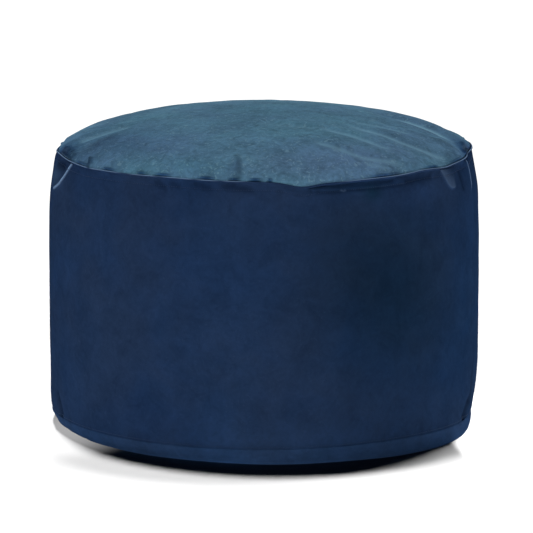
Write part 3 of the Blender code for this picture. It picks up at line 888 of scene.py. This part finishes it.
def stitches_around(name, drop, give):
    """A row of stitches all around the wall, at a drop from the top seam."""
    count = round(2.0 * np.pi * WIDEST_RADIUS / STITCH_PITCH)
    centres = np.linspace(-np.pi, np.pi, count, endpoint=False)
    across = np.linspace(-0.5, 0.5, STITCH_POINTS) * STITCH_LENGTH / WIDEST_RADIUS
    angle = (centres[:, None] + across[None, :]).ravel()
    rows = np.array([drop - 0.0005, drop, drop + 0.0005])
    grid = wall_grid(angle, rows, give)[0]
    shape = (count, STITCH_POINTS, 3)
    return thread_stitches(name, grid[1].reshape(shape), outward(grid)[1].reshape(shape))


def stitches_down(name, degrees, give):
    """A row of stitches down the wall beside its closing seam."""
    top = STITCH_DROP + CLOSING_STITCH_CLEAR_TOP
    bottom = WALL_HEIGHT - CLOSING_STITCH_CLEAR_BASE
    count = round((bottom - top) / STITCH_PITCH)
    centres = np.linspace(top, bottom, count)
    along = np.linspace(-0.5, 0.5, STITCH_POINTS) * STITCH_LENGTH
    rows = (centres[:, None] + along[None, :]).ravel()
    angle = np.radians(degrees) + np.array([-0.002, 0.0, 0.002])
    grid = wall_grid(angle, rows, give)[0]
    shape = (count, STITCH_POINTS, 3)
    return thread_stitches(name, grid[:, 1].reshape(shape), outward(grid)[:, 1].reshape(shape))


class Nodes:
    """Short calls for building a material's nodes."""

    def __init__(self, name):
        self.material = bpy.data.materials.new(name)
        self.material.use_nodes = True
        self.tree = self.material.node_tree
        self.shader = self.tree.nodes["Principled BSDF"]

    def add(self, kind, **settings):
        node = self.tree.nodes.new(kind)
        for key, value in settings.items():
            setattr(node, key, value)
        return node

    def link(self, output, target):
        self.tree.links.new(output, target)

    def put(self, value, socket):
        """Sets a socket to a number or a colour, or links another node's output to it."""
        if isinstance(value, tuple):
            socket.default_value = (*value, 1.0)
        elif isinstance(value, (int, float)):
            socket.default_value = value
        else:
            self.link(value, socket)

    def math(self, operation, first, second=None):
        """A Math node: each input is a number or another node's output."""
        node = self.add("ShaderNodeMath", operation=operation)
        self.put(first, node.inputs[0])
        if second is not None:
            self.put(second, node.inputs[1])
        return node.outputs[0]

    def noise(self, coordinates, scale, detail=3.0, roughness=0.5, distortion=0.0):
        node = self.add("ShaderNodeTexNoise")
        node.inputs["Scale"].default_value = scale
        node.inputs["Detail"].default_value = detail
        node.inputs["Roughness"].default_value = roughness
        node.inputs["Distortion"].default_value = distortion
        self.link(coordinates, node.inputs["Vector"])
        return node.outputs["Fac"]

    def spread(self, value, low, high, to_low, to_high):
        """Maps a value from one range to another, held at both ends."""
        node = self.add("ShaderNodeMapRange")
        for place, number in zip((1, 2, 3, 4), (low, high, to_low, to_high)):
            node.inputs[place].default_value = number
        self.link(value, node.inputs[0])
        return node.outputs[0]

    def mix(self, share, first, second, blend="MIX"):
        """A colour mix: each colour is a tuple or another node's output."""
        node = self.add("ShaderNodeMix", data_type="RGBA", blend_type=blend)
        self.put(share, node.inputs[0])
        self.put(first, node.inputs[6])
        self.put(second, node.inputs[7])
        return node.outputs[2]

    def bump(self, height, distance, strength, normal=None):
        node = self.add("ShaderNodeBump")
        node.inputs["Distance"].default_value = distance
        node.inputs["Strength"].default_value = strength
        self.link(height, node.inputs["Height"])
        if normal is not None:
            self.link(normal, node.inputs["Normal"])
        return node.outputs["Normal"]


def weave_height(nodes, position, around):
    """A plain weave, 0 to 1 high. The threads of the wall run around the pouf and up it."""
    split = nodes.add("ShaderNodeSeparateXYZ")
    nodes.link(position, split.inputs[0])
    if around:
        angle = nodes.math("ARCTAN2", split.outputs["X"], nodes.math("MULTIPLY", split.outputs["Y"], -1.0))
        warp = nodes.math("MULTIPLY", angle, WIDEST_RADIUS)
        weft = split.outputs["Z"]
    else:
        warp, weft = split.outputs["X"], split.outputs["Y"]
    turns = 2.0 * np.pi / WEAVE_PITCH
    over = nodes.math("SINE", nodes.math("MULTIPLY", warp, turns))
    under = nodes.math("SINE", nodes.math("MULTIPLY", weft, turns))
    return nodes.math("MULTIPLY", over, under)


def cloth_material(name, cloth, around, highlight_colour):
    """Proofed woven cloth: a weave, crumples of three sizes, a mottled colour, pale flecks, a gain of colour
    that holds painted light and shade, and a painted highlight.
    """
    nodes = Nodes(name)
    position = nodes.add("ShaderNodeTexCoord").outputs["Object"]
    broad = nodes.noise(position, 8.0, detail=3.0, roughness=0.55, distortion=0.4)
    drift = nodes.noise(position, 19.0, detail=2.0, roughness=0.5)
    creased = nodes.noise(position, cloth.crease_scale, detail=5.0, roughness=0.62, distortion=1.4)
    grain = nodes.noise(position, 170.0, detail=3.0, roughness=0.7, distortion=0.5)
    colour = nodes.mix(nodes.spread(broad, 0.36, 0.64, 0.0, 1.0), cloth.cool, cloth.warm)
    shade = nodes.math("ADD", nodes.math("MULTIPLY", drift, 0.30), nodes.math("MULTIPLY", creased, 0.40))
    shade = nodes.math("ADD", shade, nodes.math("MULTIPLY", grain, 0.30))
    shade = nodes.spread(shade, 0.36, 0.64, 1.0 - cloth.mottle, 1.0 + cloth.mottle)
    gain = nodes.add("ShaderNodeCombineColor")
    for socket in gain.inputs:
        nodes.link(shade, socket)
    colour = nodes.mix(1.0, colour, gain.outputs[0], "MULTIPLY")
    flecks = nodes.noise(position, 95.0, detail=2.0, roughness=0.5, distortion=2.5)
    flecked = nodes.spread(flecks, cloth.fleck_from, cloth.fleck_from + 0.06, 0.0, cloth.fleck_share)
    colour = nodes.mix(flecked, colour, cloth.fleck)
    # Each point's gain of colour from the mesh, much of it painted light and shade
    tone_and_painted_light = nodes.add("ShaderNodeAttribute", attribute_name="tone_and_painted_light")
    colour = nodes.mix(1.0, colour, tone_and_painted_light.outputs["Color"], "MULTIPLY")
    # Painted highlight along the lip and the creases
    pale = nodes.add("ShaderNodeAttribute", attribute_name="rub")
    colour = nodes.mix(pale.outputs["Fac"], colour, highlight_colour)
    nodes.link(colour, nodes.shader.inputs["Base Color"])
    rough = nodes.spread(grain, 0.3, 0.7, cloth.roughness - 0.08, cloth.roughness + 0.08)
    nodes.link(rough, nodes.shader.inputs["Roughness"])
    rumpled = nodes.bump(creased, cloth.crumple, 0.5)
    rumpled = nodes.bump(grain, cloth.crumple * 0.22, 0.5, rumpled)
    woven = nodes.bump(weave_height(nodes, position, around), WEAVE_DEPTH, 0.5, rumpled)
    nodes.link(woven, nodes.shader.inputs["Normal"])
    nodes.shader.inputs["Specular IOR Level"].default_value = cloth.specular
    nodes.shader.inputs["Sheen Weight"].default_value = cloth.sheen
    nodes.shader.inputs["Sheen Roughness"].default_value = 0.4
    nodes.shader.inputs["Sheen Tint"].default_value = (*SHEEN_TINT, 1.0)
    return nodes.material


def thread_material():
    """Twisted sewing thread in the wall's colour, a little lighter than the cloth."""
    nodes = Nodes("thread")
    position = nodes.add("ShaderNodeTexCoord").outputs["Object"]
    twist = nodes.noise(position, 900.0, detail=2.0)
    colour = nodes.mix(nodes.spread(twist, 0.35, 0.65, 0.0, 1.0), THREAD_DARK, THREAD_LIGHT)
    nodes.link(colour, nodes.shader.inputs["Base Color"])
    nodes.link(nodes.spread(twist, 0.3, 0.7, 0.5, 0.7), nodes.shader.inputs["Roughness"])
    nodes.link(nodes.bump(twist, 0.00015, 0.6), nodes.shader.inputs["Normal"])
    nodes.shader.inputs["Specular IOR Level"].default_value = 0.15
    return nodes.material


def dress(piece, material):
    """Gives a piece its material and slot, and lets it ride."""
    piece.data.materials.append(material)
    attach(piece, "root")


def dress_cover(piece, material, node):
    """Dresses one of the filled covers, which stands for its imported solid."""
    dress(piece, material)
    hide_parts(node)


def make_camera():
    data = bpy.data.cameras.new("camera")
    data.sensor_width = SENSOR_MM
    data.lens = CAMERA_FOCAL_PIXELS / FRAME_PIXELS * SENSOR_MM
    data.clip_end = 60.0
    camera = placed("camera", data)
    camera.location = (CAMERA_ACROSS, -CAMERA_DISTANCE, CAMERA_HEIGHT)
    camera.rotation_euler = (0.5 * np.pi - CAMERA_PITCH, 0.0, 0.0)
    bpy.context.scene.camera = camera


def make_floor():
    corners = [(x * FLOOR_HALF, y * FLOOR_HALF, 0.0) for x, y in ((-1, -1), (1, -1), (1, 1), (-1, 1))]
    floor = placed("floor", new_mesh("floor", corners, [(0, 1, 2, 3)]))
    nodes = Nodes("floor_pale")
    nodes.shader.inputs["Base Color"].default_value = (FLOOR_ALBEDO, FLOOR_ALBEDO, FLOOR_ALBEDO, 1.0)
    nodes.shader.inputs["Roughness"].default_value = 0.9
    nodes.shader.inputs["Specular IOR Level"].default_value = 0.0
    floor.data.materials.append(nodes.material)
    return floor


def add_sun(light, lit, blockers=None):
    """A far light of soft edge, on what is lit alone."""
    data = bpy.data.lights.new(light.name, "SUN")
    data.energy = light.strength
    data.angle = np.radians(light.soft)
    sun = placed(light.name, data)
    sun.rotation_euler = (np.radians(90.0 - light.elevation), 0.0, np.radians(light.azimuth))
    sun.light_linking.receiver_collection = lit
    if blockers is not None:
        sun.light_linking.blocker_collection = blockers


def add_pool(pool, lit):
    """A round pool of light on the floor that nothing else catches or blocks."""
    data = bpy.data.lights.new(pool.name, "SPOT")
    data.energy = pool.power
    data.spot_size = 2.0 * np.arctan2(pool.spread, pool.height)
    data.spot_blend = pool.soft
    data.shadow_soft_size = 0.0
    spot = placed(pool.name, data)
    spot.location = (pool.x, pool.y, pool.height)
    spot.light_linking.receiver_collection = lit
    spot.light_linking.blocker_collection = lit


def make_world():
    """Nearly no light from the sky, which the camera still sees as white."""
    world = bpy.data.worlds.new("studio")
    world.use_nodes = True
    tree = world.node_tree
    background = tree.nodes["Background"]
    background.inputs["Color"].default_value = (1.0, 1.0, 1.0, 1.0)
    background.inputs["Strength"].default_value = WORLD_STRENGTH
    seen = tree.nodes.new("ShaderNodeBackground")
    seen.inputs["Color"].default_value = (1.0, 1.0, 1.0, 1.0)
    path = tree.nodes.new("ShaderNodeLightPath")
    either = tree.nodes.new("ShaderNodeMixShader")
    tree.links.new(path.outputs["Is Camera Ray"], either.inputs[0])
    tree.links.new(background.outputs[0], either.inputs[1])
    tree.links.new(seen.outputs[0], either.inputs[2])
    tree.links.new(either.outputs[0], tree.nodes["World Output"].inputs["Surface"])
    bpy.context.scene.world = world


def make_lights(floor, pieces):
    """The floor has its own lights, so the pouf's shadow can be small and black whatever lights the cloth."""
    make_world()
    ground = bpy.data.collections.new("ground")
    ground.objects.link(floor)
    pouf = bpy.data.collections.new("pouf")
    for piece in pieces:
        pouf.objects.link(piece)
    for light in FLOOR_LIGHTS:
        add_sun(light, ground)
    for pool in FLOOR_POOLS:
        add_pool(pool, ground)
    for light in POUF_LIGHTS:
        add_sun(light, pouf, pouf)


def make_covers(top_give, wall_give):
    """The three filled covers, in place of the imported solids."""
    angle = angles_around()
    middle = SEAM_RADIUS - TOP_PANEL_INSET
    inwards = spaced((0.0012, 0.0003), (0.006, 0.0006), (0.014, 0.0010), (0.032, 0.0018), (0.155, 0.0034),
                     (middle * 0.985, 0.0080))
    drops = spaced((0.0018, 0.0018), (0.0306, 0.0012), (0.055, 0.0016), (0.090, 0.0050),
                   (WALL_HEIGHT - 0.037, 0.0150), (WALL_HEIGHT - 0.008, 0.0030), (WALL_HEIGHT, 0.0010))[1:]
    top, top_highlight, top_tone_and_painted_light = top_panel_grid(angle, inwards, top_give)
    lip, lip_highlight = lip_grid(angle)
    wall, wall_highlight, wall_tone_and_painted_light = wall_grid(angle, drops, wall_give)
    base, base_painted_light = base_panel_grid(angle)
    crown = float(top[-1, :, 2].mean()) + 0.0001
    top_cover = closed_panel("top_cover", top[::-1], crown, SEAM_HEIGHT + PANEL_GAP,
                             top_highlight[::-1], top_tone_and_painted_light[::-1])
    side_highlight = np.concatenate([lip_highlight, wall_highlight])
    side_tone_and_painted_light = np.concatenate([np.ones(lip.shape), wall_tone_and_painted_light])
    side_cover = closed_panel("side_cover", np.concatenate([lip, wall]), SEAM_HEIGHT, BASE_SEAM_HEIGHT,
                              side_highlight, side_tone_and_painted_light)
    base_cover = closed_panel("base_cover", base, BASE_SEAM_HEIGHT - PANEL_GAP, 0.0,
                              np.zeros(base.shape[:2]), base_painted_light)
    top_cloth = cloth_material("top_cloth", TOP_CLOTH, False, TOP_HIGHLIGHT)
    wall_cloth = cloth_material("wall_cloth", WALL_CLOTH, True, EDGE_HIGHLIGHT)
    base_cloth = cloth_material("base_cloth", BASE_CLOTH, True, EDGE_HIGHLIGHT)
    dress_cover(top_cover, top_cloth, "top_panel")
    dress_cover(side_cover, wall_cloth, "side_panel")
    dress_cover(base_cover, base_cloth, "base_panel")
    return [top_cover, side_cover, base_cover]


def make_stitches(wall_give):
    """A row of stitches under the top seam, one above the base seam and one beside the closing seam."""
    closing = CLOSING_ANGLE + np.degrees(CLOSING_STITCH_ASIDE / WIDEST_RADIUS)
    rows = [
        stitches_around("top_seam_stitches", STITCH_DROP, wall_give),
        stitches_around("base_seam_stitches", WALL_HEIGHT - BASE_STITCH_RISE, wall_give),
        stitches_down("closing_seam_stitches", closing, wall_give),
    ]
    thread = thread_material()
    for row in rows:
        dress(row, thread)
    return rows


make_camera()
top_give, wall_give = simulated_give()
make_lights(make_floor(), make_covers(top_give, wall_give) + make_stitches(wall_give))
bpy.context.scene.view_settings.view_transform = "Standard"
